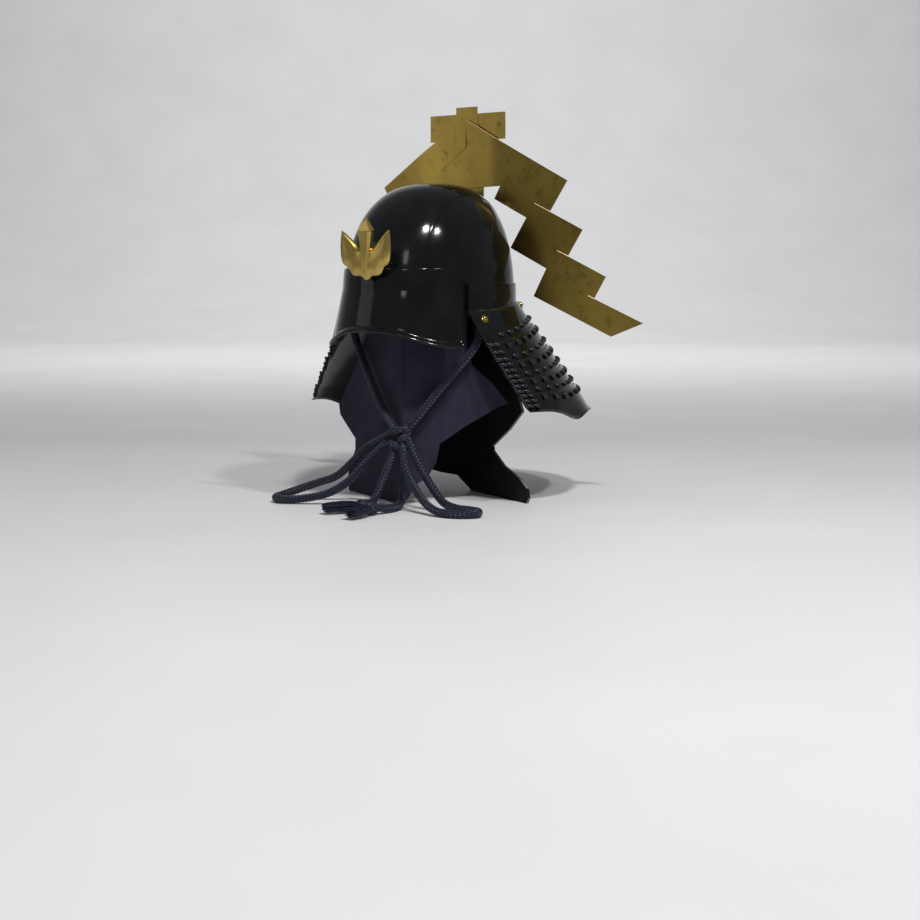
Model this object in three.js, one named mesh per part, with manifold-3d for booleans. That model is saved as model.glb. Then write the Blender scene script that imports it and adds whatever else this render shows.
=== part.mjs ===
// A samurai helmet (kabuto) on its folding display stand, as separate named pieces.
// Units are millimetres, +Z is up, the helmet faces -Y and the wearer's left is +X.
// While it is modelled, the origin is on the bowl's vertical axis at the stand's foot.
// Angles round the helmet are degrees from the front, growing towards the wearer's left.

import * as THREE from 'three';
import { mergeVertices } from 'three/addons/utils/BufferGeometryUtils.js';
import Module from 'manifold-3d';

const wasm = await Module();
wasm.setup();

// Driving dimensions

const gap = 0.35;                 // clearance between pieces that touch
const roundGap = 0.8;             // the same between two faceted curved plates
const plateWall = 1.8;            // lacquered plates of the helmet
const originBack = 55.75;         // the part's origin lies this far behind the bowl's axis

const bowl = {
  halfWidth: 105, halfLength: 129, shoulder: 265, crown: 418.5, rim: 246, wall: 2.4,
  backLean: 11, risePower: 2.2, roundPower: 2.75, columns: 40, rows: 13, rowCrowding: 0.8,
};
const seam = { at: 60, reach: 500 };   // the crown plate's edges, left and right of the middle
const brow = {
  top: 307, front: 227, corner: 207, end: 63, flareFrom: 280, flareWide: 9.5, flareLong: 11,
  droopFrom: 0.12, droopOver: 0.72, cornerFrom: 0.9, cornerRise: 78,
  lipOut: 6.5, lipTall: 4.5, columns: 24,
};
const band = { top: 288, foot: 249, start: 65.5, columns: 30 };
const neck = {
  topHalfWidth: 105.5, topHalfLength: 129.5, footHalfWidth: 186, footHalfLength: 214, footBack: 40,
  topFront: 253, topRear: 263, footFront: 125, footRear: 116, frontEdge: 64.2, frontEdgeSweep: 5.8,
  sideShare: 0.55, droop: 0.72, dip: 12, dipFrom: 0.72, dipAngle: 97, dipWidth: 10,
  lift: 2.7, overlap: 0.045, footRoll: 3, rollRows: 6, columns: 38,
};
const stud = { radius: 5, height: 4, shank: 2, flange: 0.4, edge: 1.2, step: 0.01 };
const sheet = 1.2;                // gold sheet of the rear crest
const board = 3.6;                // cloth-covered boards of the stand
const cordWidth = 11;
const chinKnot = { at: [26, -106, 91], size: [17, 12.5, 16] };
const endKnotSize = 9;

// Colours and finishes

const finish = (color, roughness, metalness) =>
  new THREE.MeshStandardMaterial({ color, roughness, metalness });
const lacquer = finish(0x0c0f10, 0.12, 0.0);
const gold = finish(0xb8922e, 0.22, 1.0);
const satinGold = finish(0xc9a24a, 0.38, 1.0);
const darkIron = finish(0x2a1f18, 0.5, 0.6);
const navyCord = finish(0x161c36, 0.85, 0.0);
const plumCloth = finish(0x3c3450, 0.95, 0.0);

// Solids: small helpers between three.js geometry and closed bodies

const rad = THREE.MathUtils.degToRad;
const clamp01 = (x) => THREE.MathUtils.clamp(x, 0, 1);
const smooth = (x) => THREE.MathUtils.smoothstep(x, 0, 1);

function merged(geometry) {
  // Share the vertices and drop the triangles that have lost their area
  const bare = new THREE.BufferGeometry();
  bare.setAttribute('position', geometry.getAttribute('position').clone());
  if (geometry.index) bare.setIndex(geometry.index.clone());
  const shared = mergeVertices(bare, 1e-3);
  const kept = [];
  const index = shared.index.array;
  for (let i = 0; i < index.length; i += 3) {
    const [a, b, c] = [index[i], index[i + 1], index[i + 2]];
    if (a !== b && b !== c && c !== a) kept.push(a, b, c);
  }
  shared.setIndex(kept);
  return shared;
}

function solidOf(geometry) {
  const shared = merged(geometry);
  return new wasm.Manifold(new wasm.Mesh({
    numProp: 3,
    vertProperties: new Float32Array(shared.getAttribute('position').array),
    triVerts: new Uint32Array(shared.index.array),
  }));
}

function geometryOf(solid) {
  const mesh = solid.getMesh();
  const geometry = new THREE.BufferGeometry();
  geometry.setAttribute('position', new THREE.BufferAttribute(mesh.vertProperties.slice(), 3));
  geometry.setIndex(new THREE.BufferAttribute(mesh.triVerts.slice(), 1));
  return geometry;
}

const unite = (solids) => solids.reduce((whole, next) => whole.add(next));

function facing(geometry) {
  // Turn a closed body's faces outwards, judged by the sign of its volume
  const shared = merged(geometry);
  const p = shared.getAttribute('position');
  const index = shared.index.array;
  const [a, b, c] = [new THREE.Vector3(), new THREE.Vector3(), new THREE.Vector3()];
  let volume = 0;
  for (let i = 0; i < index.length; i += 3) {
    a.fromBufferAttribute(p, index[i]);
    b.fromBufferAttribute(p, index[i + 1]);
    c.fromBufferAttribute(p, index[i + 2]);
    volume += a.dot(b.cross(c));
  }
  if (volume < 0) {
    for (let i = 0; i < index.length; i += 3) [index[i], index[i + 1]] = [index[i + 1], index[i]];
  }
  return shared;
}

function wallGeometry(columns, rows, outer, inner, closed) {
  // A wall between two skins: outer(u, v) and inner(u, v) with u and v from 0 to 1.
  // A closed wall runs all the way round in u, so it has no end faces.
  const points = [];
  const faces = [];
  for (const skin of [outer, inner]) {
    for (let j = 0; j <= rows; j += 1) {
      for (let i = 0; i <= columns; i += 1) {
        const u = closed && i === columns ? 0 : i / columns;
        points.push(...skin(u, j / rows));
      }
    }
  }
  const skinSize = (columns + 1) * (rows + 1);
  const at = (side, i, j) => side * skinSize + j * (columns + 1) + i;
  const quad = (a, b, c, d) => faces.push(a, b, c, a, c, d);
  for (let j = 0; j < rows; j += 1) {
    for (let i = 0; i < columns; i += 1) {
      quad(at(0, i, j), at(0, i + 1, j), at(0, i + 1, j + 1), at(0, i, j + 1));
      quad(at(1, i, j), at(1, i, j + 1), at(1, i + 1, j + 1), at(1, i + 1, j));
    }
  }
  for (let i = 0; i < columns; i += 1) {
    quad(at(0, i, 0), at(1, i, 0), at(1, i + 1, 0), at(0, i + 1, 0));
    quad(at(0, i, rows), at(0, i + 1, rows), at(1, i + 1, rows), at(1, i, rows));
  }
  for (let j = 0; j < rows && !closed; j += 1) {
    quad(at(0, 0, j), at(0, 0, j + 1), at(1, 0, j + 1), at(1, 0, j));
    quad(at(0, columns, j), at(1, columns, j), at(1, columns, j + 1), at(0, columns, j + 1));
  }
  const geometry = new THREE.BufferGeometry();
  geometry.setAttribute('position', new THREE.Float32BufferAttribute(points, 3));
  geometry.setIndex(faces);
  return facing(geometry);
}

function plateGeometry(outline, thickness) {
  // A flat plate: the outline is in (x, z) and the plate is centred on y = 0
  const shape = new THREE.Shape(outline.map(([x, z]) => new THREE.Vector2(x, z)));
  const geometry = new THREE.ExtrudeGeometry(shape, { depth: thickness, bevelEnabled: false });
  geometry.translate(0, 0, -thickness / 2);
  geometry.rotateX(Math.PI / 2);
  return facing(geometry);
}

function boxGeometry([x0, x1], [y0, y1], [z0, z1]) {
  const geometry = new THREE.BoxGeometry(x1 - x0, y1 - y0, z1 - z0);
  geometry.translate((x0 + x1) / 2, (y0 + y1) / 2, (z0 + z1) / 2);
  return geometry;
}

function lumpGeometry([x, y, z], [a, b, c], around = 14, along = 9) {
  const geometry = new THREE.SphereGeometry(1, around, along);
  geometry.rotateX(Math.PI / 2);
  geometry.scale(a, b, c);
  geometry.translate(x, y, z);
  return geometry;
}

// Bowl: an oval dome whose section shrinks with height and leans back towards the crown

function bowlPoint(angle, z, extra) {
  const t = clamp01((z - bowl.shoulder) / (bowl.crown + extra - bowl.shoulder));
  const scale = (1 - t ** bowl.risePower) ** (1 / bowl.roundPower);
  return [
    (bowl.halfWidth + extra) * scale * Math.sin(rad(angle)),
    bowl.backLean * t * t - (bowl.halfLength + extra) * scale * Math.cos(rad(angle)),
    z,
  ];
}

function domeSkin(extra) {
  // Rows crowd towards the crown, where the dome turns fastest
  return (u, v) => {
    const crown = bowl.crown + extra;
    const share = v === 1 ? 1 : Math.sin(v * Math.PI / 2) ** bowl.rowCrowding;
    return bowlPoint(360 * u, bowl.rim + (crown - bowl.rim) * share, extra);
  };
}

// The bowl is three plates: one over the crown from front to back, and one on each side
const bowlSolid = solidOf(wallGeometry(bowl.columns, bowl.rows, domeSkin(0), domeSkin(-bowl.wall), true));

function bowlPlateGeometry(from, to) {
  const slab = boxGeometry([from, to], [-seam.reach, seam.reach], [0, seam.reach]);
  return geometryOf(bowlSolid.intersect(solidOf(slab)));
}

function domeSolid(extra, foot) {
  // The filled dome, used to cut what sits inside or on the bowl
  const columns = bowl.columns;
  const skin = domeSkin(extra);
  const outer = (u, v) => (v === 0 ? [...skin(u, 0).slice(0, 2), foot] : skin(u, v));
  const points = [];
  const faces = [];
  for (let j = 0; j <= bowl.rows; j += 1) {
    for (let i = 0; i < columns; i += 1) points.push(...outer(i / columns, j / bowl.rows));
  }
  points.push(0, 0, foot);
  const centre = points.length / 3 - 1;
  for (let i = 0; i < columns; i += 1) {
    const next = (i + 1) % columns;
    faces.push(centre, next, i);
    for (let j = 0; j < bowl.rows; j += 1) {
      const [a, b] = [j * columns + i, j * columns + next];
      faces.push(a, b, b + columns, a, b + columns, a + columns);
    }
  }
  const geometry = new THREE.BufferGeometry();
  geometry.setAttribute('position', new THREE.Float32BufferAttribute(points, 3));
  geometry.setIndex(faces);
  return solidOf(facing(geometry));
}

// Brow plate: wraps the front, flares below the bowl and ends in a rolled lip

function browEdge(angle) {
  // The lower edge: level at the front, drooping at the sides, with rounded corners
  const side = Math.abs(angle) / brow.end;
  const droop = (brow.front - brow.corner) * smooth((side - brow.droopFrom) / brow.droopOver);
  const corner = clamp01((side - brow.cornerFrom) / (1 - brow.cornerFrom)) ** 3;
  return brow.front - droop + brow.cornerRise * corner;
}

function browPoint(angle, z, extra) {
  const flare = Math.max(0, brow.flareFrom - z) / (brow.flareFrom - brow.front);
  const [x, y] = bowlPoint(angle, z, roundGap + extra);
  const a = rad(angle);
  return [x + brow.flareWide * flare * Math.sin(a), y - brow.flareLong * flare * Math.cos(a), z];
}

// Rows of the brow plate from its lip upwards: height above the edge, how far the outside and
// the inside stand out from the bowl
const browRows = [
  { up: -brow.lipTall * 0.5, out: 3.4, in: 0.6 },
  { up: 0, out: brow.lipOut, in: 0 },
  { up: brow.lipTall * 0.6, out: brow.lipOut, in: 0 },
  { up: brow.lipTall * 1.2, out: 3.2, in: 0 },
  { up: brow.lipTall * 1.7, out: plateWall, in: 0 },
  { up: 0.32, out: plateWall, in: 0, share: true },
  { up: 0.66, out: plateWall, in: 0, share: true },
  { up: 1, out: plateWall, in: 0, share: true },
];

function browSkin(side) {
  return (u, v) => {
    const angle = brow.end * (2 * u - 1);
    const row = browRows[Math.round(v * (browRows.length - 1))];
    const edge = browEdge(angle);
    const lipTop = edge + brow.lipTall * 1.7;
    const z = row.share ? lipTop + row.up * (brow.top - lipTop) : edge + row.up;
    return browPoint(angle, z, row[side]);
  };
}

const browGeometry = wallGeometry(brow.columns, browRows.length - 1, browSkin('out'), browSkin('in'),
  false);

// Rear band: a strip round the sides and back, from one end of the brow plate to the other

function bandSkin(extra) {
  return (u, v) => {
    const angle = band.start + (360 - 2 * band.start) * u;
    return bowlPoint(angle, band.foot + (band.top - band.foot) * v, roundGap + extra);
  };
}

const bandGeometry = wallGeometry(band.columns, 3, bandSkin(plateWall), bandSkin(0), false);

// Neck guard: plates on one flaring cone, w from 0 at the top plate's rim to 1 at the foot.
// u runs from the wearer's left front edge round the back to the right front edge.

function neckPoint(u, w, extra) {
  const towardsBack = 1 - Math.abs(2 * u - 1);
  const sideways = smooth(towardsBack / neck.sideShare);
  const drop = w ** (neck.droop + (1 - neck.droop) * sideways);
  const start = neck.frontEdge + neck.frontEdgeSweep * drop;
  const angle = start + (360 - 2 * start) * u;
  const fromSide = Math.min(Math.abs(angle - neck.dipAngle), Math.abs(360 - angle - neck.dipAngle));
  const dipGrowth = smooth((w - neck.dipFrom) / (1 - neck.dipFrom));
  const dip = neck.dip * Math.exp(-((fromSide / neck.dipWidth) ** 2)) * dipGrowth;
  const top = neck.topFront + (neck.topRear - neck.topFront) * sideways;
  const foot = neck.footFront + (neck.footRear - neck.footFront) * sideways;
  const halfWidth = neck.topHalfWidth + (neck.footHalfWidth - neck.topHalfWidth) * drop + extra;
  const halfLength = neck.topHalfLength + (neck.footHalfLength - neck.topHalfLength) * drop + extra;
  return [
    halfWidth * Math.sin(rad(angle)),
    neck.footBack * drop - halfLength * Math.cos(rad(angle)),
    top - (top - foot) * drop - dip,
  ];
}

// Each plate's upper edge, and its lower edge before the overlap with the next
const neckPlates = [
  { name: 'neck_top_plate', top: 0, foot: 0.2 },
  { name: 'neck_lame_1', top: 0.2, foot: 0.396 },
  { name: 'neck_lame_2', top: 0.396, foot: 0.583 },
  { name: 'neck_lame_3', top: 0.583, foot: 0.765 },
  { name: 'neck_lame_4', top: 0.765, foot: 1 },
];

function neckPlateGeometry(plate) {
  // A lower plate's top edge lies outside the foot of the plate above it
  const last = plate.foot === 1;
  const foot = last ? 1 : plate.foot + neck.overlap;
  const skin = (wall) => (u, v) => {
    const w = foot + (plate.top - foot) * v;
    const lift = neck.lift * (1 - (w - plate.top) / (plate.foot - plate.top));
    const roll = last ? neck.footRoll * smooth(1 - v * neck.rollRows) : 0;
    return neckPoint(u, w, lift + roll + wall);
  };
  return wallGeometry(neck.columns, last ? 4 : 3, skin(plateWall), skin(0), false);
}

// Gold studs that hold the neck guard's top plate to the bowl

const studs = [
  { name: 'stud_left', u: 0.035, w: 0.035 },
  { name: 'stud_rear_left', u: 0.29, w: 0.035 },
  { name: 'stud_rear_right', u: 0.71, w: 0.035 },
  { name: 'stud_right', u: 0.965, w: 0.035 },
];

function studGeometry({ u, w }) {
  // A domed head on a short shank, standing square on the top plate
  const profile = [[0, 0], [stud.shank, 0], [stud.radius, stud.flange], [stud.radius, stud.edge],
    [stud.radius * 0.72, stud.height * 0.85], [0, stud.height]];
  const points = profile.map(([x, y]) => new THREE.Vector2(x, y));
  const geometry = facing(new THREE.LatheGeometry(points, 12));
  const lift = neck.lift * (1 - w / neckPlates[0].foot) + plateWall;
  const [here, along, down] = [[u, w], [u + stud.step, w], [u, w + 2 * stud.step]].map(
    ([uu, ww]) => new THREE.Vector3(...neckPoint(uu, ww, lift)));
  const out = along.sub(here).cross(down.sub(here)).normalize();
  if (out.x * here.x + out.y * here.y < 0) out.negate();
  geometry.applyQuaternion(new THREE.Quaternion().setFromUnitVectors(new THREE.Vector3(0, 1, 0), out));
  const seat = here.clone().addScaledVector(out, gap);
  geometry.translate(seat.x, seat.y, seat.z);
  return geometry;
}

// Front crest: a cast three-pronged flame with a blade in the middle, on a hooked holder

const crest = {
  face: -146, thick: 3.4, bladeThick: 8, holderHalf: 6, holderFoot: 297, holderTop: 314,
  holderBack: -118,
};
const cutFoot = 200;              // the domes that cut the holders start below the rim

// Half of the flame's outline from its foot outwards and back to the blade, in (x, z)
const flameHalf = [[0, 291], [4, 296], [10, 298.5], [17, 298], [24, 303], [31, 311], [37, 320],
  [38.5, 333], [37, 353], [30, 345], [20, 336], [12.5, 326]];
const bladeHalf = [[6, 305], [6.5, 325], [9, 340], [12, 354], [0, 370]];

const mirrored = (half) => [...half, ...half.filter(([x]) => x > 0).map(([x, z]) => [-x, z]).reverse()];

function frontCrestGeometry() {
  const flame = plateGeometry(mirrored(flameHalf), crest.thick);
  flame.translate(0, crest.face + crest.bladeThick - crest.thick / 2, 0);
  const blade = plateGeometry(mirrored(bladeHalf), crest.bladeThick);
  blade.translate(0, crest.face + crest.bladeThick / 2, 0);
  return geometryOf(unite([solidOf(flame), solidOf(blade)]));
}

function crestHolderGeometry() {
  // A block between the brow plate and the crest, cut to the brow plate's round face
  const back = crest.face + crest.bladeThick + gap;
  const block = solidOf(boxGeometry([-crest.holderHalf, crest.holderHalf], [back, crest.holderBack],
    [crest.holderFoot, crest.holderTop]));
  return geometryOf(block.subtract(domeSolid(roundGap + plateWall + 2 * gap, cutFoot)));
}

// Rear crest: a zigzag paper-streamer shape in gold sheet. Its parts lie flat against each
// other at the middle; the streamers bend back at a line on each side.

const rear = { face: 85, bendAt: 62.5, bend: 10.4, plateHalf: 61.5, plateFoot: 481, plateTop: 517 };
const layer = sheet + gap;        // from one sheet of the crest to the next
const stemHalf = { low: 28, high: 17.5 };
const stemHeights = { foot: 404, shoulder: 440, top: 526 };
const rearHolder = { half: 10, deep: 7, foot: 380, top: 432 };

// The right-hand streamer's outline in (distance from the middle, height)
const streamer = [[0, 510], [153, 423], [129, 383], [106, 394], [175, 358], [155, 324], [139, 331],
  [208, 296], [192, 267], [183, 271], [260, 235], [216, 217], [106, 270], [124, 307], [72, 335],
  [95, 375], [47, 401], [56, 418]];
const frontStreamerStart = [[-2, 416], [-35, 423], [-43, 434], [-41, 441], [3, 472]];
const backStreamerStart = [[2, 418]];

function streamerGeometry(start, side) {
  const outline = [...streamer, ...start];
  const whole = solidOf(plateGeometry(outline, sheet));
  const far = 400;
  const shared = 0.05;
  const flatSide = solidOf(boxGeometry([-far, rear.bendAt], [-far, far], [0, 2 * far]));
  const bentSide = solidOf(boxGeometry([rear.bendAt - shared, far], [-far, far], [0, 2 * far]));
  const bent = geometryOf(whole.intersect(bentSide));
  bent.translate(-rear.bendAt, 0, 0);
  bent.rotateZ(rad(rear.bend));
  bent.translate(rear.bendAt, 0, 0);
  const geometry = geometryOf(whole.intersect(flatSide).add(solidOf(bent)));
  if (side < 0) geometry.scale(-1, 1, 1);
  return facing(geometry);
}

function stemGeometry() {
  const half = [[stemHalf.low, stemHeights.foot], [stemHalf.low, stemHeights.shoulder],
    [stemHalf.high, stemHeights.shoulder], [stemHalf.high, stemHeights.top]];
  return plateGeometry(mirrored(half), sheet);
}

function rearPlateGeometry() {
  const { plateHalf, plateFoot, plateTop } = rear;
  return plateGeometry([[-plateHalf, plateFoot], [plateHalf, plateFoot], [plateHalf, plateTop],
    [-plateHalf, plateTop]], sheet);
}

function rearHolderGeometry() {
  // A plain foot behind the stem, cut to the bowl's crown
  const front = rear.face + 2 * layer + sheet / 2 + gap;
  const block = solidOf(boxGeometry([-rearHolder.half, rearHolder.half], [front, front + rearHolder.deep],
    [rearHolder.foot, rearHolder.top]));
  return geometryOf(block.subtract(domeSolid(gap, cutFoot)));
}

// Stand: two upright boards, each folded at one crease, that meet at the sides.
// Corners in plan: front and rear creases, left and right meeting points.

const standPlan = { front: [17, -87], left: [148, 12], rear: [14, 79], right: [-128, -14] };

// Outlines of the wings, in (distance from the crease, height). Each starts and ends on the crease.
const standTop = 408;
const frontLeftWing = [[0, 0], [17, 26], [33, 38], [43, 55], [48, 80], [80, 102], [125, 128],
  [137, 132], [118, 157], [90, 182], [82, 215], [82, standTop], [0, standTop]];
const frontRightWing = [[0, 0], [161, 0], [165, 12], [161, 30], [140, 60], [140, 75], [188, 104],
  [192, 118], [143, 169], [112, 205], [96, 240], [96, standTop], [0, standTop]];
const rearLeftWing = [[0, 0], [147, 0], [152, 8], [148, 20], [128, 32], [90, 44], [61, 62], [60, 68],
  [103, 94], [136, 120], [120, 150], [88, 185], [80, 215], [80, standTop], [0, standTop]];
const rearRightWing = [[0, 0], [11, 12], [20, 22], [44, 26], [90, 40], [120, 70], [150, 100],
  [150, 112], [118, 160], [92, 190], [84, 215], [84, standTop], [0, standTop]];

function wingSolid(outline, crease, towards) {
  const [dx, dy] = [towards[0] - crease[0], towards[1] - crease[1]];
  const geometry = plateGeometry(outline, board);
  geometry.rotateZ(Math.atan2(dy, dx));
  geometry.translate(crease[0], crease[1], 0);
  return solidOf(geometry);
}

function creaseSolid([x, y], foot) {
  // Rounds the outside of a board's fold
  const geometry = new THREE.CylinderGeometry(board / 2, board / 2, standTop - foot, 12);
  geometry.rotateX(Math.PI / 2);
  geometry.translate(x, y, (standTop + foot) / 2);
  return solidOf(geometry);
}

function boardGeometry(crease, wings) {
  // The boards end inside the bowl, just short of its inner face
  const folded = unite([creaseSolid(crease, 0), ...wings]);
  const reach = 250;
  const underBowl = solidOf(boxGeometry([-reach, reach], [-reach, reach], [-1, bowl.rim - board * 4]));
  return geometryOf(folded.intersect(domeSolid(-bowl.wall - gap, -1).add(underBowl)));
}

const frontBoard = boardGeometry(standPlan.front, [
  wingSolid(frontLeftWing, standPlan.front, standPlan.left),
  wingSolid(frontRightWing, standPlan.front, standPlan.right),
]);
const rearBoard = boardGeometry(standPlan.rear, [
  wingSolid(rearLeftWing, standPlan.rear, standPlan.left),
  wingSolid(rearRightWing, standPlan.rear, standPlan.right),
]);

// Chin cord: one braided cord from a ring under each side of the rim to a bow in front of the
// stand, with two loops and two tails that end in a knot and a tuft on the ground

const ring = { at: [100.5, -35, 238], radius: 6, wire: 1.5 };

function ringGeometry(side) {
  const geometry = new THREE.TorusGeometry(ring.radius, ring.wire, 6, 12);
  geometry.rotateY(Math.PI / 2);
  geometry.translate(side * ring.at[0], ring.at[1], ring.at[2]);
  return facing(geometry);
}

const cordRoutes = [
  { name: 'chin_strand_left', steps: 10, route: [[100.5, -35, 230.2], [101.5, -36.4, 220],
    [97, -43, 203], [83, -55, 180], [66, -70, 154], [50, -84, 128], [38, -96, 108], [28, -105, 93]] },
  { name: 'chin_strand_right', steps: 10, route: [[-100.5, -35, 230.2], [-100, -36.5, 221],
    [-84, -50, 203], [-62, -64, 178], [-38, -77, 151], [-14, -89, 124], [8, -98, 106], [22, -104, 95]] },
  { name: 'bow_loop_left', steps: 21, route: [[32, -104, 95], [43, -109, 84], [61, -111, 56],
    [80, -111, 30], [98, -111, 12], [116, -111, 6.6], [138, -113, 6.2], [155, -119, 6.2],
    [160, -130, 6.2], [151, -142, 6.2], [134, -149, 6.2], [112, -147, 6.6], [88, -139, 15],
    [65, -131, 34], [49, -125, 54], [40, -118, 74], [34, -114, 82]] },
  { name: 'bow_loop_right', steps: 25, route: [[20, -104, 97], [9, -109, 92], [-8, -109, 84],
    [-28, -107, 74], [-48, -108, 56], [-72, -113, 35], [-100, -120, 24], [-126, -131, 14],
    [-139, -146, 8], [-138, -160, 6.4], [-124, -168, 6.2], [-100, -158, 7], [-66, -141, 15],
    [-42, -130, 30], [-24, -122, 50], [-7, -117, 68], [7, -114, 81], [17, -112, 85]] },
  { name: 'cord_tail_right', steps: 8, route: [[25, -109, 84], [23, -116, 72], [20, -123, 56],
    [16, -131, 36], [14, -142, 18], [14, -153, 10], [15, -164, 9.4]] },
  { name: 'cord_tail_left', steps: 10, route: [[27, -103, 82], [28, -100, 70], [28, -100, 52],
    [30, -104, 32], [34, -112, 15], [39, -126, 7], [44, -144, 6.4], [44, -160, 6.8],
    [41, -176, 9.2]] },
];

const knots = [
  { name: 'chin_knot', at: chinKnot.at, size: chinKnot.size },
  { name: 'end_knot_right', at: [15, -170, 9.4], size: [endKnotSize, endKnotSize, endKnotSize] },
  { name: 'end_knot_left', at: [39, -185, 9.4], size: [endKnotSize, endKnotSize, endKnotSize] },
];
const tufts = [
  { name: 'tuft_right', knot: 'end_knot_right', towards: [-16, -212] },
  { name: 'tuft_left', knot: 'end_knot_left', towards: [40, -232] },
];
const tuft = {
  sections: [[0, 4.5], [0.25, 7.7], [0.6, 8.6], [0.92, 6.5]],
  lobes: 4, lobeDepth: 0.9, belly: 8.6, around: 16,
};

function cordSolid({ route, steps }) {
  const corners = route.map((p) => new THREE.Vector3(...p));
  const path = new THREE.CatmullRomCurve3(corners, false, 'centripetal');
  const sides = 8;
  const section = new THREE.Shape(Array.from({ length: sides }, (_, i) => {
    const a = 2 * Math.PI * i / sides;
    return new THREE.Vector2(Math.cos(a) * cordWidth / 2, Math.sin(a) * cordWidth / 2);
  }));
  return solidOf(facing(new THREE.ExtrudeGeometry(section, { steps, extrudePath: path })));
}

function tuftGeometry({ knot, towards }) {
  // Loose strands held at the end knot: a lobed drop lying on the ground
  const start = new THREE.Vector3(...knots.find((k) => k.name === knot).at);
  const end = new THREE.Vector3(towards[0], towards[1], start.z);
  const along = end.clone().sub(start);
  const length = along.length() - endKnotSize;
  const profile = tuft.sections.map(([share, radius]) => new THREE.Vector2(radius, share * length));
  const geometry = facing(new THREE.LatheGeometry(
    [new THREE.Vector2(0, 0), ...profile, new THREE.Vector2(0, length)], tuft.around));
  const p = geometry.getAttribute('position');
  for (let i = 0; i < p.count; i += 1) {
    const angle = Math.atan2(p.getZ(i), p.getX(i));
    const lobe = 1 - tuft.lobeDepth / tuft.belly * (1 + Math.cos(angle * tuft.lobes)) / 2;
    p.setXYZ(i, p.getX(i) * lobe, p.getY(i), p.getZ(i) * lobe);
  }
  along.normalize();
  geometry.applyQuaternion(
    new THREE.Quaternion().setFromUnitVectors(new THREE.Vector3(0, 1, 0), along));
  const neckAt = start.addScaledVector(along, endKnotSize + gap);
  geometry.translate(neckAt.x, neckAt.y, neckAt.z);
  return geometry;
}

function grownLump({ at, size }) {
  // The knot with its clearance; its facets are finer than the knot's own
  return solidOf(lumpGeometry(at, size.map((s) => s + gap), 17, 11));
}

// The whole part

const part = new THREE.Group();
part.name = 'kabuto';
part.position.y = -originBack;
const add = (name, geometry, material, y = 0) => {
  const mesh = new THREE.Mesh(geometry, material);
  mesh.name = name;
  mesh.position.y = y;
  part.add(mesh);
};

add('bowl_crown_plate', bowlPlateGeometry(-seam.at, seam.at), lacquer);
add('bowl_left_plate', bowlPlateGeometry(seam.at + gap, seam.reach), lacquer);
add('bowl_right_plate', bowlPlateGeometry(-seam.reach, -seam.at - gap), lacquer);
add('brow_plate', browGeometry, lacquer);
add('rear_band', bandGeometry, lacquer);
for (const plate of neckPlates) add(plate.name, neckPlateGeometry(plate), lacquer);
for (const row of studs) add(row.name, studGeometry(row), gold);
add('front_crest', frontCrestGeometry(), satinGold);
add('front_crest_holder', crestHolderGeometry(), darkIron);
add('rear_crest_streamer_left', streamerGeometry(frontStreamerStart, 1), gold, rear.face);
add('rear_crest_streamer_right', streamerGeometry(backStreamerStart, -1), gold, rear.face + layer);
add('rear_crest_stem', stemGeometry(), gold, rear.face + 2 * layer);
add('rear_crest_plate', rearPlateGeometry(), gold, rear.face + 3 * layer);
add('rear_crest_holder', rearHolderGeometry(), darkIron);
add('stand_front_board', frontBoard, plumCloth);
add('stand_rear_board', rearBoard, plumCloth);
add('cord_ring_left', ringGeometry(1), darkIron);
add('cord_ring_right', ringGeometry(-1), darkIron);
const cutters = unite(knots.map(grownLump));
for (const cord of cordRoutes) add(cord.name, geometryOf(cordSolid(cord).subtract(cutters)), navyCord);
for (const knot of knots) add(knot.name, facing(lumpGeometry(knot.at, knot.size)), navyCord);
for (const row of tufts) add(row.name, tuftGeometry(row), navyCord);

export default part;
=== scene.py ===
"""A samurai helmet (kabuto) on its folding display stand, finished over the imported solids.

Shapes are worked out in millimetres from the bowl's vertical axis at the stand's foot, with +Z up, the
helmet facing -Y and the wearer's left at +X. make_piece moves them to the part's own frame in metres.
"""

from math import pi, radians

import bmesh
import bpy
import numpy as np
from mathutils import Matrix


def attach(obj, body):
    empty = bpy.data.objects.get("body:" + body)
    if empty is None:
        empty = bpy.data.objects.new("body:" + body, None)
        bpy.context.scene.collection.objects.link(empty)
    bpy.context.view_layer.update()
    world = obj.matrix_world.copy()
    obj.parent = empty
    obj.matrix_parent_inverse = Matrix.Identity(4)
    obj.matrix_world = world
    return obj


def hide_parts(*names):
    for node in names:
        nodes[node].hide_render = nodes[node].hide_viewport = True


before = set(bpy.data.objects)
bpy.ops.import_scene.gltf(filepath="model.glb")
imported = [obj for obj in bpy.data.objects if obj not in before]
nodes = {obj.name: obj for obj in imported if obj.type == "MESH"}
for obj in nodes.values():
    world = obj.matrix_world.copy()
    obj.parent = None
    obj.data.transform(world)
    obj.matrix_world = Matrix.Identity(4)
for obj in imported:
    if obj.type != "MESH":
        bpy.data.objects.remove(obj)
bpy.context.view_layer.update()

ORIGIN_BACK = np.array([0.0, 55.75, 0.0])   # the part's origin lies this far behind the bowl's axis, mm
SEAM = 60.2                                 # the crown plate's edges, left and right of the middle
BOWL_WALL = 2.4
PLATE = 1.8                                 # thickness of the brow, band and neck plates
ROUND_GAP = 0.8                             # between the bowl and the plates round it
MERGE = 2e-6                                # points nearer than this are one point, m
SOLID_MERGE = 1e-5                          # and in a copy of a solid
SLIVER = 2e-4                               # and where a streamer is cut into strips
NO_LENGTH = 1e-7


# Camera

VIEW_ANGLE = 33.917         # from straight ahead, degrees


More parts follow.
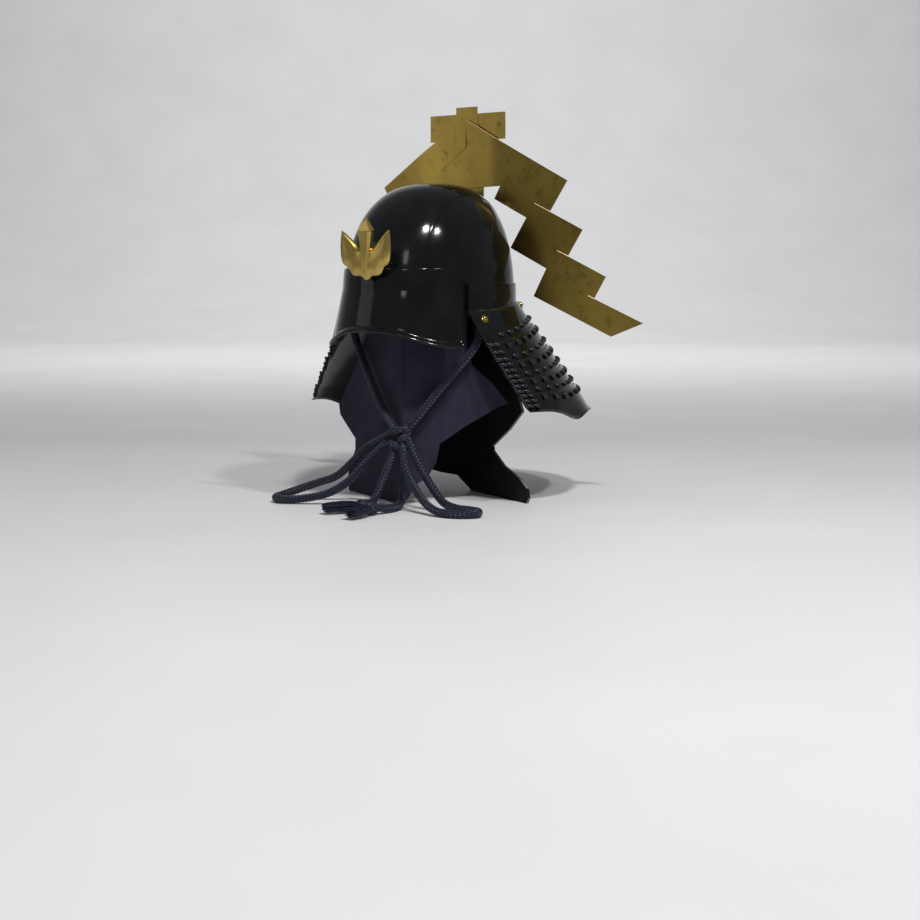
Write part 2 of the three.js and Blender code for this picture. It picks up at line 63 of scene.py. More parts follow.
def place_camera():
    """The photograph's view: from the wearer's left front, level with the bowl's rim, a little downwards."""
    lens = bpy.data.cameras.new("camera")
    lens.lens = 61.04
    lens.sensor_width = 36
    lens.clip_end = 60
    camera = bpy.data.objects.new("camera", lens)
    camera.location = (1.2045, -1.77595, 0.296)
    camera.rotation_euler = (radians(83.3), 0, radians(VIEW_ANGLE))
    bpy.context.scene.collection.objects.link(camera)
    bpy.context.scene.camera = camera


place_camera()


# Numbers

def smooth(x):
    """0 below 0, 1 above 1, and 3x^2 - 2x^3 between."""
    x = np.clip(x, 0, 1)
    return x * x * (3 - 2 * x)


def unit(vectors):
    return vectors / np.maximum(np.linalg.norm(vectors, axis=-1, keepdims=True), 1e-12)


def stack(x, y, z):
    return np.stack(np.broadcast_arrays(x, y, z), axis=-1)


def grid_faces(rows, columns):
    """Quads that join each point of a grid to its neighbours in the next row and column."""
    i = np.arange(rows - 1)[:, None]
    j = np.arange(columns - 1)[None, :]
    corner = i * columns + j
    quad = np.stack([corner, corner + 1, corner + columns + 1, corner + columns], axis=-1)
    return quad.reshape(-1, 4)


def grid_part(points):
    """A grid of points as a part: its points, its quads, its pattern coordinates and its material number."""
    rows, columns = points.shape[:2]
    v, u = np.meshgrid(np.linspace(0, 1, rows), np.linspace(0, 1, columns), indexing="ij")
    uv = np.stack([u, v], axis=-1)
    return points.reshape(-1, 3), grid_faces(rows, columns), uv.reshape(-1, 2), 0


# Meshes and pieces

def make_piece(name, parts, materials, replaced=(), caps=(), crease=50):
    """Joins parts into one object at the origin. caps are lists of point numbers that close open ends."""
    points = np.concatenate([p[0] for p in parts])
    starts = np.cumsum([0] + [len(p[0]) for p in parts[:-1]])
    quads = np.concatenate([p[1] + start for p, start in zip(parts, starts)])
    uv = np.concatenate([p[2] for p in parts])
    kinds = np.concatenate([np.full(len(p[1]), p[3]) for p in parts]).tolist() + [0] * len(caps)
    faces = quads.tolist() + [list(c) for c in caps]
    mesh = bpy.data.meshes.new(name)
    mesh.from_pydata(((points - ORIGIN_BACK) / 1000).tolist(), [], faces)
    mesh.polygons.foreach_set("material_index", kinds)
    layer = mesh.uv_layers.new(name="UVMap")
    corner = np.zeros(len(mesh.loops), np.int32)
    mesh.loops.foreach_get("vertex_index", corner)
    layer.data.foreach_set("uv", uv[corner].astype(np.float32).ravel())
    tidy = bmesh.new()
    tidy.from_mesh(mesh)
    bmesh.ops.remove_doubles(tidy, verts=tidy.verts, dist=MERGE)
    bmesh.ops.dissolve_degenerate(tidy, edges=tidy.edges, dist=NO_LENGTH)
    bmesh.ops.recalc_face_normals(tidy, faces=tidy.faces)
    tidy.to_mesh(mesh)
    tidy.free()
    return finish_piece(name, mesh, materials, replaced, crease)


def finish_piece(name, mesh, materials, replaced, crease):
    for material in materials:
        mesh.materials.append(material)
    mesh.shade_smooth()
    mesh.set_sharp_from_angle(angle=radians(crease))
    piece = bpy.data.objects.new(name, mesh)
    bpy.context.scene.collection.objects.link(piece)
    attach(piece, "root")
    if replaced:
        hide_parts(*replaced)
    return piece


def eased_copy(name, node, materials, width, kind_of=None, reshape=None):
    """A merged copy of a flat-faced solid with its edges rounded by width, in mm. kind_of gives a face's
    material number from its normal, and reshape moves the copy's points."""
    mesh = nodes[node].data.copy()
    mesh.materials.clear()
    tidy = bmesh.new()
    tidy.from_mesh(mesh)
    bmesh.ops.remove_doubles(tidy, verts=tidy.verts, dist=SOLID_MERGE)
    bmesh.ops.dissolve_limit(tidy, angle_limit=radians(1), verts=tidy.verts, edges=tidy.edges)
    bmesh.ops.recalc_face_normals(tidy, faces=tidy.faces)
    for face in tidy.faces:
        face.material_index = kind_of(face.normal) if kind_of else 0
    if reshape:
        reshape(tidy)
    tidy.to_mesh(mesh)
    tidy.free()
    piece = finish_piece(name, mesh, materials, (node,), crease=35)
    ease_edges(piece, width, segments=3, angle=30)


def ease_edges(piece, width, segments, angle):
    """Rounds the edges that are sharper than angle, in degrees, by width, in mm."""
    ease = piece.modifiers.new("eased edges", "BEVEL")
    ease.width = width / 1000
    ease.segments = segments
    ease.limit_method = "ANGLE"
    ease.angle_limit = radians(angle)


def rounded_section(start, stop, low, high, per_mm, rows):
    """A plate's cross-section as (along, out) points: two straight sides joined by half circles."""
    radius = (high - low) / 2
    middle = (high + low) / 2
    reach = radius * per_mm
    side = np.linspace(start + reach, stop - reach, rows)
    turn = np.linspace(0, pi, 7)[1:-1]
    along = np.concatenate([side, stop - reach + reach * np.sin(turn), side[::-1],
                            start + reach - reach * np.sin(turn), side[:1]])
    out = np.concatenate([np.full(rows, high), middle + radius * np.cos(turn), np.full(rows, low),
                          middle - radius * np.cos(turn), [high]])
    return along, out


END_TURN = 0.36             # a plate's thinned end starts this far into its quarter turn


def plate_columns(count, end):
    """Column places from 0 to 1 and the wall's fullness there: a quarter turn thins it at each end."""
    turn = np.linspace(END_TURN, pi / 2, 5)
    near = end * (1 - np.cos(turn - turn[0]))
    middle = np.linspace(near[-1], 1 - near[-1], count)[1:-1]
    full = np.sin(turn)
    return (np.concatenate([near, middle, 1 - near[::-1]]),
            np.concatenate([full, np.ones(count - 2), full[::-1]]))


def bent_plate(place, section, columns, middle):
    """Carries a cross-section along u: point = place(u, along, middle + (out - middle) * fullness)."""
    along, out = section
    u, full = columns
    thin = middle + (out[:, None] - middle) * full[None, :]
    points = place(u[None, :], along[:, None], thin)
    part = grid_part(points)
    rows, count = points.shape[:2]
    ring = np.arange(rows - 1) * count
    return part, [ring.tolist(), (ring + count - 1)[::-1].tolist()]


def tubes(lines, wide, thick, up, sides=6, kind=0):
    """Many cords at once. A ring is c + side wide cos a + lift thick sin a, where side is square to the
    line and to up, and lift is square to both; a last ring of no size closes each end."""
    count, length = lines.shape[:2]
    wide = np.broadcast_to(wide, (count, length))[:, :, None, None]
    thick = np.broadcast_to(thick, (count, length))[:, :, None, None]
    up = np.broadcast_to(up, lines.shape)
    ahead = unit(np.gradient(lines, axis=1))
    side = unit(np.cross(ahead, up))
    lift = np.cross(side, ahead)
    a = np.linspace(0, 2 * pi, sides + 1)[None, None, :, None]
    rings = lines[:, :, None] + side[:, :, None] * wide * np.cos(a) + lift[:, :, None] * thick * np.sin(a)
    first = np.broadcast_to(lines[:, :1, None], rings[:, :1].shape)
    last = np.broadcast_to(lines[:, -1:, None], rings[:, :1].shape)
    rings = np.concatenate([first, rings, last], axis=1)
    step = np.linalg.norm(np.diff(lines, axis=1), axis=2)
    far = np.concatenate([np.zeros((count, 2)), np.cumsum(step, axis=1), step.sum(axis=1)[:, None]], axis=1)
    uv = stack(a[..., 0] / (2 * pi), far[:, :, None] / 10, 0.0)[..., :2]
    one = grid_faces(length + 2, sides + 1)
    every = one[None] + (np.arange(count) * (length + 2) * (sides + 1))[:, None, None]
    return rings.reshape(-1, 3), every.reshape(-1, 4), uv.reshape(-1, 2), kind


# Materials

def material(name, **sockets):
    """A new material whose shader sockets are set by name; underscores stand for spaces."""
    made = bpy.data.materials.new(name)
    made.use_nodes = True
    shader = made.node_tree.nodes["Principled BSDF"]
    for key, value in sockets.items():
        shader.inputs[key.replace("_", " ")].default_value = value
    return made, made.node_tree.nodes, made.node_tree.links, shader


def coordinates(tree_nodes, links, scale, kind="Object"):
    where = tree_nodes.new("ShaderNodeTexCoord")
    size = tree_nodes.new("ShaderNodeMapping")
    size.inputs["Scale"].default_value = scale
    links.new(where.outputs[kind], size.inputs["Vector"])
    return size.outputs["Vector"]


def noise(tree_nodes, links, scale, detail=3.0, stretch=(1, 1, 1), kind="Object", rough=0.5):
    made = tree_nodes.new("ShaderNodeTexNoise")
    made.inputs["Scale"].default_value = scale
    made.inputs["Detail"].default_value = detail
    made.inputs["Roughness"].default_value = rough
    links.new(coordinates(tree_nodes, links, stretch, kind), made.inputs["Vector"])
    return made.outputs["Fac"]


def ramp(tree_nodes, links, value, stops):
    """Colours or greys at places from 0 to 1."""
    made = tree_nodes.new("ShaderNodeValToRGB")
    bar = made.color_ramp.elements
    while len(bar) < len(stops):
        bar.new(0.5)
    for element, (at, colour) in zip(bar, stops):
        element.position = at
        element.color = (*colour, 1) if isinstance(colour, tuple) else (colour, colour, colour, 1)
    links.new(value, made.inputs["Fac"])
    return made.outputs["Color"]


def blend(tree_nodes, links, kind, share, a, b):
    made = tree_nodes.new("ShaderNodeMix")
    made.data_type = "RGBA"
    made.blend_type = kind
    for socket, value in ((made.inputs["Factor"], share), (made.inputs[6], a), (made.inputs[7], b)):
        if isinstance(value, bpy.types.NodeSocket):
            links.new(value, socket)
        else:
            socket.default_value = value
    return made.outputs[2]


def bump(tree_nodes, links, shader, heights):
    """Bumps one after another: (height, strength, distance in metres)."""
    normal = None
    for height, strength, distance in heights:
        made = tree_nodes.new("ShaderNodeBump")
        made.inputs["Strength"].default_value = strength
        made.inputs["Distance"].default_value = distance
        links.new(height, made.inputs["Height"])
        if normal:
            links.new(normal, made.inputs["Normal"])
        normal = made.outputs["Normal"]
    links.new(normal, shader.inputs["Normal"])


def lacquer_finish(name, scratch):
    """Deep black lacquer: a soft hand-made waviness, a little dust, and fine scratches."""
    made, n, l, s = material(name, Metallic=0.0, IOR=1.5, Specular_IOR_Level=0.3)
    dust = noise(n, l, 38, 6)
    fine = noise(n, l, 520, 4, (1, 1, 0.25))
    tone = ramp(n, l, dust, [(0.3, (0.0022, 0.0029, 0.0033)), (0.72, (0.0052, 0.0062, 0.0068))])
    l.new(tone, s.inputs["Base Color"])
    l.new(ramp(n, l, dust, [(0.25, 0.07), (0.75, 0.14)]), s.inputs["Roughness"])
    wave = noise(n, l, 16, 1)
    lines = ramp(n, l, fine, [(0.62, 0.0), (0.72, 1.0)])
    bump(n, l, s, [(wave, 0.25, 0.0012), (lines, scratch, 0.00004)])
    return made


def gold_finish(name, colour, dull, roughness, grain, stained):
    """Gilt metal: a clear yellow that darkens in soft clouds, with small brown stains and fine grain."""
    made, n, l, s = material(name, Metallic=1.0)
    stain = ramp(n, l, noise(n, l, 70, 10, rough=0.68), [(0.54, 0.0), (0.70, stained)])
    cloud = ramp(n, l, noise(n, l, 7, 3), [(0.3, 0.0), (0.75, 1.0)])
    tone = blend(n, l, "MIX", cloud, colour, dull)
    tone = blend(n, l, "MIX", stain, tone, tuple(0.55 * c for c in dull[:3]) + (1,))
    l.new(tone, s.inputs["Base Color"])
    patch = noise(n, l, 34, 5)
    l.new(ramp(n, l, patch, [(0.3, roughness), (0.75, roughness + 0.07)]), s.inputs["Roughness"])
    wave = noise(n, l, 13, 1)
    bump(n, l, s, [(wave, 0.2, 0.001), (noise(n, l, grain, 2), 0.12, 0.00004)])
    return made


def iron_finish():
    made, n, l, s = material("dark_iron", Metallic=0.7)
    patch = noise(n, l, 150, 5)
    l.new(ramp(n, l, patch, [(0.3, (0.035, 0.022, 0.016)), (0.75, (0.075, 0.045, 0.03))]),
          s.inputs["Base Color"])
    l.new(ramp(n, l, patch, [(0.2, 0.38), (0.8, 0.6)]), s.inputs["Roughness"])
    bump(n, l, s, [(patch, 0.3, 0.0002)])
    return made


def cloth_finish(name, dark, light, sheen):
    """Plain weave: threads across are bands in height, threads up are bands along the board."""
    made, n, l, s = material(name, Roughness=0.92, Sheen_Weight=sheen, Sheen_Roughness=0.45,
                             Specular_IOR_Level=0.2)
    bands = []
    for stretch, direction, scale in (((1, 0.55, 0), "DIAGONAL", 330), ((0, 0, 1), "Z", 420)):
        wave = n.new("ShaderNodeTexWave")
        wave.wave_type = "BANDS"
        wave.bands_direction = direction
        wave.inputs["Scale"].default_value = scale
        wave.inputs["Distortion"].default_value = 0.6
        wave.inputs["Detail Scale"].default_value = 2
        l.new(coordinates(n, l, stretch), wave.inputs["Vector"])
        bands.append(wave.outputs["Fac"])
    weave = n.new("ShaderNodeMath")
    weave.operation = "MULTIPLY"
    l.new(bands[0], weave.inputs[0])
    l.new(bands[1], weave.inputs[1])
    fade = noise(n, l, 22, 4)
    slub = noise(n, l, 180, 3, (1, 1, 0.12))
    tone = ramp(n, l, fade, [(0.3, dark), (0.72, light)])
    tone = blend(n, l, "MULTIPLY", 0.45, tone, ramp(n, l, slub, [(0.25, 0.55), (0.7, 1.0)]))
    tone = blend(n, l, "MULTIPLY", 0.35, tone, ramp(n, l, weave.outputs[0], [(0.0, 0.4), (0.6, 1.0)]))
    l.new(tone, s.inputs["Base Color"])
    bump(n, l, s, [(noise(n, l, 14, 2), 0.3, 0.0015), (weave.outputs[0], 0.4, 0.00015)])
    return made


def cord_finish(name, dark, light, fibre):
    """Silk cord: fibres run along each strand, with the dye a little uneven."""
    made, n, l, s = material(name, Roughness=0.48, Sheen_Weight=0.03, Sheen_Roughness=0.4,
                             Specular_IOR_Level=0.5)
    uneven = noise(n, l, 120, 5)
    along = noise(n, l, 9, 3, (fibre, 1.4, 1), "UV")
    tone = ramp(n, l, uneven, [(0.3, dark), (0.75, light)])
    tone = blend(n, l, "MULTIPLY", 0.6, tone, ramp(n, l, along, [(0.3, 0.45), (0.68, 1.0)]))
    l.new(tone, s.inputs["Base Color"])
    bump(n, l, s, [(along, 0.5, 0.0003)])
    return made


lacquer = lacquer_finish("black_lacquer", 0.25)
gold = gold_finish("polished_gold", (0.48, 0.34, 0.075, 1), (0.31, 0.215, 0.05, 1), 0.2, 900, 0.8)
# A paler, rougher gold for the sheets' cut edges and the fold lips: a painted highlight where edges catch the
# light.
gold_painted_highlight = gold_finish("polished_gold_painted_highlight", (0.95, 0.78, 0.42, 1), (0.82, 0.64, 0.30, 1), 0.38, 900, 0.2)
# A dark brown gold for the lines along the lapped joint: a painted shadow standing in for the shadow gap
# there.
gold_painted_shadow = gold_finish("polished_gold_painted_shadow", (0.16, 0.10, 0.03, 1), (0.10, 0.06, 0.02, 1), 0.45, 900, 0.2)
satin_gold = gold_finish("satin_gold", (0.60, 0.43, 0.13, 1), (0.46, 0.33, 0.09, 1), 0.25, 1500, 0.3)
dark_iron = iron_finish()
plum_cloth = cloth_finish("plum_cloth", (0.024, 0.020, 0.038), (0.042, 0.036, 0.064), 0.04)
inner_cloth = cloth_finish("inner_cloth", (0.004, 0.004, 0.006), (0.009, 0.009, 0.012), 0.03)
edge_cloth = cloth_finish("edge_cloth", (0.16, 0.15, 0.17), (0.26, 0.25, 0.27), 0.1)
navy_cord = cord_finish("navy_cord", (0.0040, 0.0060, 0.019), (0.010, 0.014, 0.040), 3)
# Also the braids' core colour: near black as painted shade in the gaps between the strands.
lacing_cord_and_core_shade = cord_finish("lacing_cord_and_core_shade", (0.0020, 0.0024, 0.006), (0.005, 0.006, 0.013), 3)


# Bowl: three plates with a seam each side of the middle

HALF_WIDTH = 105
HALF_LENGTH = 129
RIM = 265                   # the height where the skirt starts
RISE = 153.5                # from there to the crown
LEAN = 11                   # how far back the crown lies
PLAN_POWER = 2.75
RISE_POWER = 2.2
SKIRT = 19.0                # how far the skirt goes down from the rim
CROWN_SHARE = SEAM / HALF_WIDTH
CROWN_RIM, CROWN_SKIRT = 0.93, 0.07         # shares of the crown plate's half length
SIDE_RIM, SIDE_SKIRT = 0.9, 0.1             # shares of a side plate's height
CROWN_RAISED = 0.6                          # the crown plate stands this proud of the side plates
CROWN_PER_MM = 0.0042                       # a millimetre as a share of the plate's section
SIDE_PER_MM = 0.0068


def dome(p, q, out):
    """The bowl from above: p and q are the shares of its half width and half length. With s their length,
    the height share is t = (1 - s^2.75)^(1/2.2), and the section leans back by 11 t^2."""
    s = np.minimum(np.hypot(p, q), 1)
    t = np.maximum(1 - s ** PLAN_POWER, 0) ** (1 / RISE_POWER)
    return stack((HALF_WIDTH + out) * p, LEAN * t * t + (HALF_LENGTH + out) * q, RIM + (RISE + out) * t)


def crown_place(u, v, out):
    """A strip from the front rim over the top to the rear rim: q = q_max sin(90 v), then down the skirt."""
    p = CROWN_SHARE * (2 * u - 1)
    over = np.clip(np.abs(v) / CROWN_RIM, 0, 1)
    points = dome(p, np.sign(v) * np.sqrt(1 - p * p) * np.sin(over * pi / 2), out)
    points[..., 2] -= SKIRT * np.clip((np.abs(v) - CROWN_RIM) / CROWN_SKIRT, 0, 1)
    return points


def side_place(side):
    """A side plate: s grows from the seam to the rim at each angle a, then the skirt goes down."""
    def place(u, v, out):
        first = np.arcsin(CROWN_SHARE)
        a = first + (pi - 2 * first) * u
        least = CROWN_SHARE / np.sin(a)
        s = least + (1 - least) * np.sin(np.clip(v / SIDE_RIM, 0, 1) * pi / 2)
        points = dome(side * s * np.sin(a), -s * np.cos(a), out)
        points[..., 2] -= SKIRT * np.clip((v - SIDE_RIM) / SIDE_SKIRT, 0, 1)
        return points
    return place


def build_bowl():
    section = rounded_section(-1, 1, -BOWL_WALL, CROWN_RAISED, CROWN_PER_MM, 170)
    part, caps = bent_plate(crown_place, section, plate_columns(64, 0.012), (CROWN_RAISED - BOWL_WALL) / 2)
    make_piece("bowl_crown", [part], [lacquer], ("bowl_crown_plate",), caps, 60)
    section = rounded_section(0, 1, -BOWL_WALL, 0, SIDE_PER_MM, 60)
    for side, name in ((1, "left"), (-1, "right")):
        part, caps = bent_plate(side_place(side), section, plate_columns(110, 0.006), -BOWL_WALL / 2)
        make_piece(f"bowl_{name}_side", [part], [lacquer], (f"bowl_{name}_plate",),
                   caps, 60)


def bowl_round(angle, z, out):
    """The bowl by angle from the front and height: t = (z - rim) / rise, s = (1 - t^2.2)^(1/2.75)."""
    t = np.clip((z - RIM) / (RISE + out), 0, 1)
    s = (1 - t ** RISE_POWER) ** (1 / PLAN_POWER)
    return stack((HALF_WIDTH + out) * s * np.sin(angle),
                 LEAN * t * t - (HALF_LENGTH + out) * s * np.cos(angle), z)


# Brow plate and rear band

BROW_END = radians(63)
BROW_TOP = 307
BROW_FOOT = 227             # the lower edge's height in front
BROW_DROOP = 20             # how much lower it is towards the sides
BROW_CORNER = 78            # how far its corners turn up
LIP_ROOM = 7.65             # from the plate's foot to where its lip starts to roll
LIP_RADIUS = 3.1
FLARE_TOP, FLARE_DEPTH = 280, 53            # the height where the plate starts to flare, and for how far
FLARE_ASIDE, FLARE_AHEAD = 9.5, 11          # how far out it is by then


def brow_edge(angle):
    """The lower edge: lowest towards the sides, then a rounded corner upwards."""
    side = np.abs(angle) / BROW_END
    droop = BROW_DROOP * smooth((side - 0.12) / 0.72)
    return BROW_FOOT - droop + BROW_CORNER * np.clip((side - 0.9) / 0.1, 0, 1) ** 3


def brow_place(u, level, out):
    """level 0 to 1 runs from above the rolled lip to the top edge; below 0 it is millimetres / 100."""
    angle = BROW_END * (2 * u - 1)
    edge = brow_edge(angle)
    lip_top = edge + LIP_ROOM
    z = lip_top + np.where(level >= 0, level * (BROW_TOP - lip_top), level * 100)
    flare = np.maximum(0, FLARE_TOP - z) / FLARE_DEPTH
    points = bowl_round(angle, z, ROUND_GAP + out)
    points[..., 0] += FLARE_ASIDE * flare * np.sin(angle)
    points[..., 1] -= FLARE_AHEAD * flare * np.cos(angle)
    return points


def build_brow():
    """Its section runs down the outside, round the lip, and up the inside."""
    rows = 34
    side = np.linspace(0.985, 0, rows)
    turn = np.linspace(radians(72), radians(-178), 17)
    lip_up = (1.3 + LIP_RADIUS * np.sin(turn) - LIP_ROOM) / 100
    top = np.linspace(0, pi, 6)[1:-1]
    level = np.concatenate([side, [-0.013, -0.024], lip_up, [-0.03], side[::-1],
                            0.985 + 0.012 * np.sin(top), side[:1]])
    out = np.concatenate([np.full(rows, PLATE), [2.05, 2.9], 3.4 + LIP_RADIUS * np.cos(turn), [0.0],
                          np.zeros(rows), PLATE / 2 * (1 - np.cos(top)), [PLATE]])
    u, full = plate_columns(130, 0.006)
    even = (u + (1 - np.cos(pi * u)) / 2) / 2
    part, caps = bent_plate(brow_place, (level, out), (even, full), PLATE / 2)
    make_piece("brow", [part], [lacquer], ("brow_plate",), caps, 60)


BAND_START = radians(65.5)
BAND_FOOT, BAND_TOP = 249, 288


def band_place(u, z, out):
    angle = BAND_START + (2 * pi - 2 * BAND_START) * u
    return bowl_round(angle, z, ROUND_GAP + out)


def build_band():
    section = rounded_section(BAND_FOOT, BAND_TOP, 0, PLATE, 1, 14)
    part, caps = bent_plate(band_place, section, plate_columns(150, 0.003), PLATE / 2)
    make_piece("band", [part], [lacquer], ("rear_band",), caps, 60)


# Neck guard

NECK_ROWS = ((0, 0.2), (0.2, 0.396), (0.396, 0.583), (0.583, 0.765), (0.765, 1.0))
NECK_NAMES = ("neck_top_plate", "neck_lame_1", "neck_lame_2", "neck_lame_3", "neck_lame_4")
OVERLAP = 0.045             # how far each row reaches under the next
LIFT = 2.7                  # how much further out a row's head lies than its foot
PER_MM = 1 / 165            # a millimetre down the guard as a share of its depth
LAST_ROW = len(NECK_ROWS) - 1
EDGE_ANGLE, EDGE_TURN = 64.2, 5.8           # of the front edges at the head, and its growth to the foot
HEAD_HEIGHT, HEAD_RISE = 253, 10            # at the front edges, and how much higher at the back
FOOT_HEIGHT, FOOT_FALL = 125, 9             # at the front edges, and how much lower at the back
HEAD_WIDE, HEAD_LONG = 105.5, 129.5         # half axes at the head
GROW_WIDE, GROW_LONG = 80.5, 84.5           # and their growth to the foot
BACKWARDS = 40              # how far the foot's centre lies behind the head's
DIP, DIP_ANGLE = 12, 97     # the foot dips this far at this angle on each side
ROLL = 3.0                  # the last row's foot turns out by this
RIB = 0.45                  # the raised line along each row's head


def neck_point(u, w, out):
    """A flaring cone round the back. drop = w^(0.72 + 0.28 behind), where behind is 0 at the front edges and
    1 at the back. Both half axes grow with drop, and the centre moves back with it."""
    behind = smooth((1 - np.abs(2 * u - 1)) / 0.55)
    drop = np.maximum(w, 0) ** (0.72 + 0.28 * behind)
    start = EDGE_ANGLE + EDGE_TURN * drop
    angle = start + (360 - 2 * start) * u
    aside = np.minimum(np.abs(angle - DIP_ANGLE), np.abs(360 - DIP_ANGLE - angle))
    dip = DIP * np.exp(-((aside / 10) ** 2)) * smooth((w - 0.72) / 0.28)
    top = HEAD_HEIGHT + HEAD_RISE * behind
    foot = FOOT_HEIGHT - FOOT_FALL * behind
    a = np.radians(angle)
    return stack((HEAD_WIDE + GROW_WIDE * drop + out) * np.sin(a),
                 BACKWARDS * drop - (HEAD_LONG + GROW_LONG * drop + out) * np.cos(a),
                 top - (top - foot) * drop - dip)


def neck_lift(row, w):
    top, foot = NECK_ROWS[row]
    return LIFT * (1 - (w - top) / (foot - top))


def neck_out(u, w, lift):
    """A point on the guard and three directions there: square to it, outwards, along it and down it."""
    here = neck_point(u, w, lift)
    along = neck_point(u + 0.002, w, lift) - here
    down = neck_point(u, w + 0.01, lift) - here
    out = unit(np.cross(along, down))
    away = out[..., 0] * here[..., 0] + out[..., 1] * (here[..., 1] - BACKWARDS / 2)
    return here, np.where(away[..., None] < 0, -out, out), unit(along), unit(down)


def build_neck():
    for row, (top, foot) in enumerate(NECK_ROWS):
        last = row == LAST_ROW
        low = foot if last else foot + OVERLAP

        def place(u, w, out, row=row, low=low, last=last):
            roll = ROLL * smooth(1 - (low - w) * 26) if last else 0
            rib = RIB * np.exp(-(((w - NECK_ROWS[row][0]) / PER_MM - 3.2) / 1.5) ** 2)
            return neck_point(u, w, neck_lift(row, w) + roll + rib + out)

        section = rounded_section(top, low, 0, PLATE, PER_MM, 22)
        part, caps = bent_plate(place, section, plate_columns(170, 0.0016), PLATE / 2)
        make_piece(f"neck_plate_{row}", [part], [lacquer], (NECK_NAMES[row],), caps, 60)


# Lacing on the neck guard

LACE_COLUMNS = 27
LACE_END = 0.055            # the first column's place along the guard
HEAD_ROW = 0.047            # from a row's head to its upright laces
FOOT_ROW = 0.042            # from its crosses to its foot
WINDINGS = 6.5              # of the cord that winds round a row's front edge
LACE_CLEAR = 0.3            # how far a lace's ends stand off the plate


def lace_tubes(u, w, row, spans, radius, arch):
    """Short laces at (u, w). A span is two offsets in mm, along and down the plate, that the lace runs
    between in an arch, and how much further out it lies."""
    here, out, along, down = neck_out(u, w, neck_lift(row, w) + PLATE)
    lines = []
    s = np.linspace(-1, 1, 7)
    for (a0, d0), (a1, d1), extra in spans:
        a = (a0 + (a1 - a0) * (s + 1) / 2)[None, :, None]
        d = (d0 + (d1 - d0) * (s + 1) / 2)[None, :, None]
        h = (LACE_CLEAR + extra + arch * (1 - np.abs(s) ** 2.6))[None, :, None]
        lines.append(here[:, None] + a * along[:, None] + d * down[:, None] + h * out[:, None])
    lines = np.concatenate(lines)
    taper = 1 - 0.45 * np.abs(s) ** 4
    return tubes(lines, radius * taper, radius * 0.85 * taper, np.tile(out, (len(spans), 1))[:, None], 6)


CROSS = (((-3.9, -1.9), (3.9, 1.9), 0.0), ((-3.9, 1.9), (3.9, -1.9), 1.2))
UPRIGHT = (((-1.9, -3.9), (-1.9, 3.8), 0.0), ((1.9, -3.9), (1.9, 3.8), 0.0))


def build_lacing():
    """Columns of paired laces: two upright a quarter of the way down each lame, and a cross a quarter of the
    way up it."""
    u = LACE_END + (1 - 2 * LACE_END) * np.arange(LACE_COLUMNS) / (LACE_COLUMNS - 1)
    parts = []
    for row, (top, foot) in enumerate(NECK_ROWS):
        if row < LAST_ROW:
            w = np.full_like(u, foot - FOOT_ROW)
            parts.append(lace_tubes(u, w, row, CROSS, radius=2.1, arch=1.8))
        if row > 0:
            w = np.full_like(u, top + HEAD_ROW)
            parts.append(lace_tubes(u, w, row, UPRIGHT, radius=1.95, arch=1.8))
    make_piece("lacing", parts, [lacing_cord_and_core_shade])


def build_edge_lacing():
    """Round each lame's front edge a cord winds in a helix; inside it, close-set crosses."""
    parts = []
    for side in (0, 1):
        for row in range(1, LAST_ROW + 1):
            top, foot = NECK_ROWS[row]
            low = foot - 0.05 if row == LAST_ROW else foot
            for inset in (0.009, 0.024):
                u = np.full(3, inset if side == 0 else 1 - inset)
                w = np.linspace(top + 0.03, low - 0.022, 3)
                parts.append(lace_tubes(u, w, row, CROSS, radius=1.9, arch=1.7))
            s = np.linspace(0, 1, 150)
            w = top + 0.012 + (low - top - 0.02) * s
            turn = 2 * pi * WINDINGS * s
            edge = 0.0006 + 0.0028 * (1 - np.cos(turn)) / 2
            u = edge if side == 0 else 1 - edge
            out = neck_out(u, w, neck_lift(row, w))[1]
            lift = neck_lift(row, w) + PLATE / 2 + (PLATE / 2 + 1.1) * np.sin(turn)
            line = neck_point(u, w, lift)
            parts.append(tubes(line[None], 1.2, 1.0, out[None], 7))
    make_piece("edge_lacing", parts, [lacing_cord_and_core_shade])


# Studs and rings

def revolve(profile, columns):
    """A profile of (radius, height) points turned round the z axis."""
    a = np.linspace(0, 2 * pi, columns + 1)[None, :]
    r, z = profile[:, :1], profile[:, 1:]
    return stack(r * np.cos(a), r * np.sin(a), z + 0 * a)


STUD_DROP = 0.035           # from the guard's head


def build_studs():
    """A domed head on a rolled washer with eight soft petals."""
    places = (("stud_left", 0.035), ("stud_rear_left", 0.29), ("stud_rear_right", 0.71),
              ("stud_right", 0.965))
    profile = np.array([[0, 0.1], [3, 0.1], [5.2, 0.2], [5.6, 0.8], [5.2, 1.3], [4.2, 1.2], [3.7, 1.4],
                        [3.6, 2.2], [3.2, 3.2], [2.3, 3.9], [1.1, 4.2], [0, 4.25]])
    fine = np.linspace(0, 1, 40)
    steps = np.linspace(0, 1, len(profile))
    curve = np.stack([np.interp(fine, steps, profile[:, k]) for k in (0, 1)], axis=1)
    for name, u in places:
        base = revolve(curve, 48)
        a = np.arctan2(base[..., 1], base[..., 0])
        wide = np.hypot(base[..., 0], base[..., 1])
        petal = 1 + 0.09 * np.cos(8 * a) * smooth((wide - 3.9) / 1.0)
        base[..., :2] *= petal[..., None]
        here, out, along = neck_out(np.array([u]), np.array([STUD_DROP]),
                                    neck_lift(0, STUD_DROP) + PLATE)[:3]
        placed = here[0] + base[..., :1] * along[0] + base[..., 1:2] * np.cross(out[0], along[0]) \
            + base[..., 2:] * out[0]
        make_piece(f"{name}_head", [grid_part(placed)], [gold], (name,))


RING_CENTRE = (100.5, -35, 238)
RING_RADIUS = 6
RING_WIRE = 1.5


